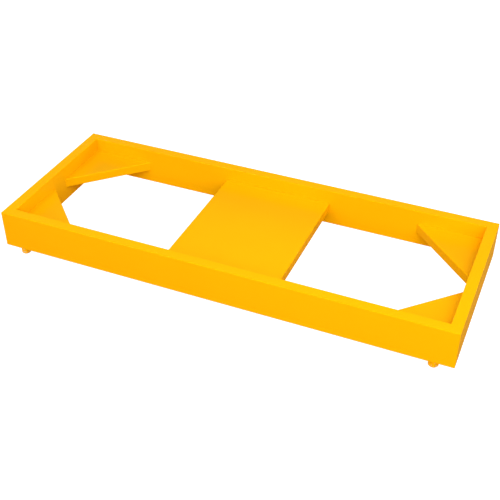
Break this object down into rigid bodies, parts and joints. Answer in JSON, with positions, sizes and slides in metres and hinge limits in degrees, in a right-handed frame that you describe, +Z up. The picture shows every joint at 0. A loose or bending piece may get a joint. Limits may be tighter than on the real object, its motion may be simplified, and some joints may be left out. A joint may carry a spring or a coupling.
{
  "type": "spill pallet base stand",
  "caption": "Open rectangular base stand of box rails with a middle deck, corner gussets and screw levelling feet; it carries a safety cabinet or sump just off the floor.",
  "frame": {"origin": "on the floor under the middle of the stand, feet screwed fully in", "axes": "+X along the length to the right, +Y to the back, +Z up"},
  "size_m": [1.1938, 0.4572, 0.1196],
  "materials": {
    "yellow_powder_coat": "gloss",
    "bare_steel": "satin",
    "glide_plastic": "satin"
  },
  "bodies": {
    "frame": {"front_rail": "yellow_powder_coat", "back_rail": "yellow_powder_coat", "left_end_rail": "yellow_powder_coat", "right_end_rail": "yellow_powder_coat", "centre_deck": "yellow_powder_coat", "gusset_front_left": "yellow_powder_coat", "gusset_front_right": "yellow_powder_coat", "gusset_back_left": "yellow_powder_coat", "gusset_back_right": "yellow_powder_coat", "weld_nut_front_left": "bare_steel", "weld_nut_front_right": "bare_steel", "weld_nut_back_left": "bare_steel", "weld_nut_back_right": "bare_steel"},
    "pad_front_left": {"foot_pad_front_left": "glide_plastic"},
    "screw_front_left": {"levelling_screw_front_left": "yellow_powder_coat"},
    "pad_front_right": {"foot_pad_front_right": "glide_plastic"},
    "screw_front_right": {"levelling_screw_front_right": "yellow_powder_coat"},
    "pad_back_left": {"foot_pad_back_left": "glide_plastic"},
    "screw_back_left": {"levelling_screw_back_left": "yellow_powder_coat"},
    "pad_back_right": {"foot_pad_back_right": "glide_plastic"},
    "screw_back_right": {"levelling_screw_back_right": "yellow_powder_coat"}
  },
  "joints": [
    {"name": "foot_travel_front_left", "type": "slide", "parent": "frame", "child": "pad_front_left", "axis": [0, 0, -1], "range_m": [0, 0.0254]},
    {"name": "foot_turn_front_left", "type": "hinge", "parent": "pad_front_left", "child": "screw_front_left", "pos_m": [-0.5469, -0.21485, 0], "axis": [0, 0, -1], "range_deg": [0, 4680]},
    {"name": "foot_travel_front_right", "type": "slide", "parent": "frame", "child": "pad_front_right", "axis": [0, 0, -1], "range_m": [0, 0.0254]},
    {"name": "foot_turn_front_right", "type": "hinge", "parent": "pad_front_right", "child": "screw_front_right", "pos_m": [0.5469, -0.21485, 0], "axis": [0, 0, -1], "range_deg": [0, 4680]},
    {"name": "foot_travel_back_left", "type": "slide", "parent": "frame", "child": "pad_back_left", "axis": [0, 0, -1], "range_m": [0, 0.0254]},
    {"name": "foot_turn_back_left", "type": "hinge", "parent": "pad_back_left", "child": "screw_back_left", "pos_m": [-0.5469, 0.21485, 0], "axis": [0, 0, -1], "range_deg": [0, 4680]},
    {"name": "foot_travel_back_right", "type": "slide", "parent": "frame", "child": "pad_back_right", "axis": [0, 0, -1], "range_m": [0, 0.0254]},
    {"name": "foot_turn_back_right", "type": "hinge", "parent": "pad_back_right", "child": "screw_back_right", "pos_m": [0.5469, 0.21485, 0], "axis": [0, 0, -1], "range_deg": [0, 4680]}
  ],
  "couplings": [
    {"joint": "foot_turn_front_left", "follows": "foot_travel_front_left", "rad_per_m": 3215.8},
    {"joint": "foot_turn_front_right", "follows": "foot_travel_front_right", "rad_per_m": 3215.8},
    {"joint": "foot_turn_back_left", "follows": "foot_travel_back_left", "rad_per_m": 3215.8},
    {"joint": "foot_turn_back_right", "follows": "foot_travel_back_right", "rad_per_m": 3215.8}
  ]
}
